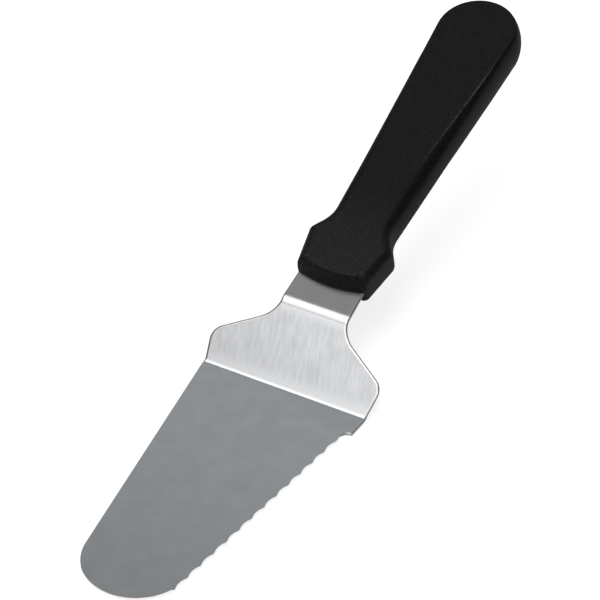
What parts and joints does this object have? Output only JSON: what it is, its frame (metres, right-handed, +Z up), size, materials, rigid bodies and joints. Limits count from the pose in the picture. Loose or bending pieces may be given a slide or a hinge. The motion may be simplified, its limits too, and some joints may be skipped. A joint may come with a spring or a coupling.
{
  "type": "cake server",
  "caption": "Offset cake server: a flat tapering steel blade with a rounded nose and one scalloped edge, a raised heel and a moulded plastic handle.",
  "frame": {"origin": "on the flat underside of the blade, on its middle line, half way between the heel bend and the tip of the nose", "axes": "+X along the blade towards its nose, +Y towards the scalloped edge, +Z up, out of the blade's upper face"},
  "size_m": [0.2646, 0.0632, 0.0673],
  "materials": {
    "steel": "stainless steel sheet, fine brushed satin along the length, with bright polished bends",
    "handle_plastic": "black polypropylene with a fine moulded grain"
  },
  "bodies": {
    "root": {"blade": "steel", "handle": "handle_plastic"}
  },
  "joints": []
}
